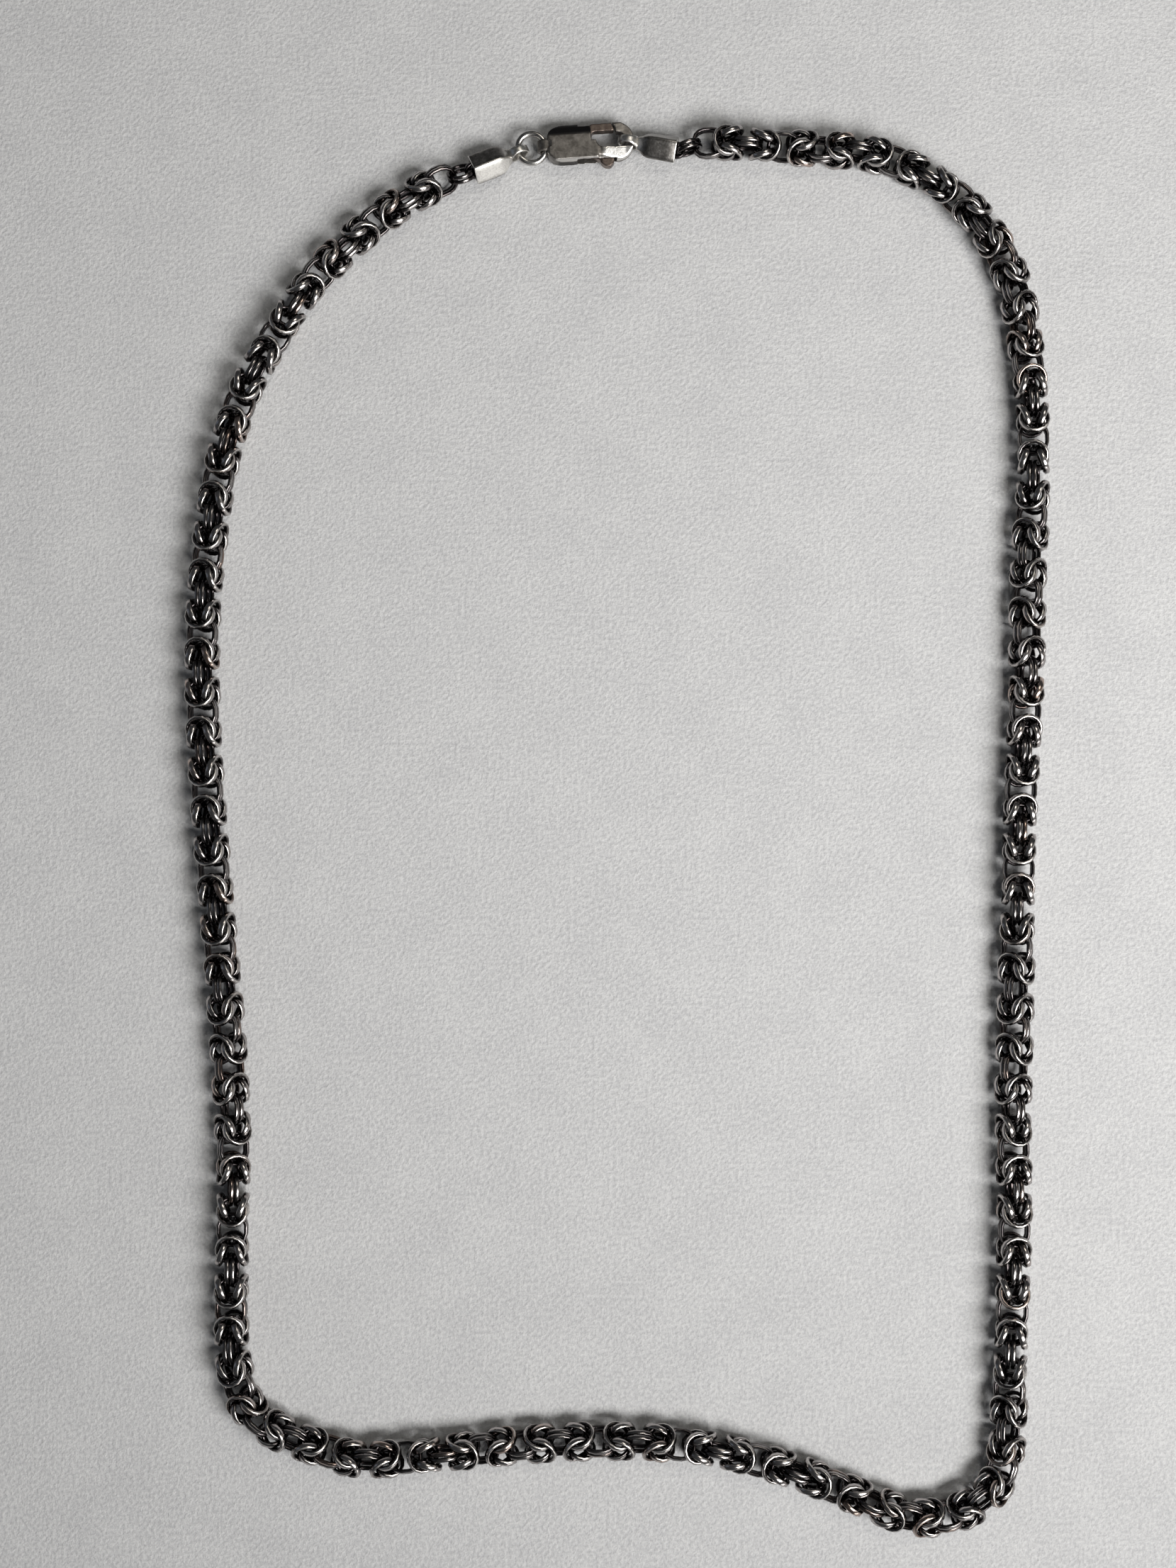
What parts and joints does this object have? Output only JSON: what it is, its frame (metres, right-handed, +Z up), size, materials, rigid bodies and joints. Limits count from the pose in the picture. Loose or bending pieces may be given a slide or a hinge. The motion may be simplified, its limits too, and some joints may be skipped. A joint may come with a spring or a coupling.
{
  "type": "byzantine chain necklace",
  "caption": "Byzantine weave neck chain lying in an open loop, closed by a lobster clasp with a sprung lever, a jump ring and two square end caps.",
  "frame": {"origin": "middle of the bounding box, on the surface that the chain lies on", "axes": "+Y towards the clasp, +X across the loop to its right side seen from above with the clasp at the top, +Z up"},
  "size_m": [0.1221, 0.1979, 0.0048],
  "materials": {
    "oxidised_silver": "oxidised silver, dark in the hollows and rubbed bright on the high places",
    "worn_silver": "worn satin silver with a grey tarnish",
    "polished_silver": "polished silver wire",
    "lever_silver": "silver with a warm brown tarnish"
  },
  "bodies": {
    "necklace": {"chain_left": "oxidised_silver", "chain_right": "oxidised_silver", "end_cap_left": "worn_silver", "end_cap_right": "worn_silver", "jump_ring": "polished_silver", "clasp_body": "worn_silver"},
    "lever": {"clasp_lever": "lever_silver"}
  },
  "joints": [
    {"name": "lever_pivot", "type": "hinge", "parent": "necklace", "child": "lever", "pos_m": [-0.00496, 0.09647, 0.0019], "axis": [0, 0, -1], "range_deg": [0, 30], "stiffness_Nm_per_rad": 0.01, "springref_deg": -17.19}
  ]
}
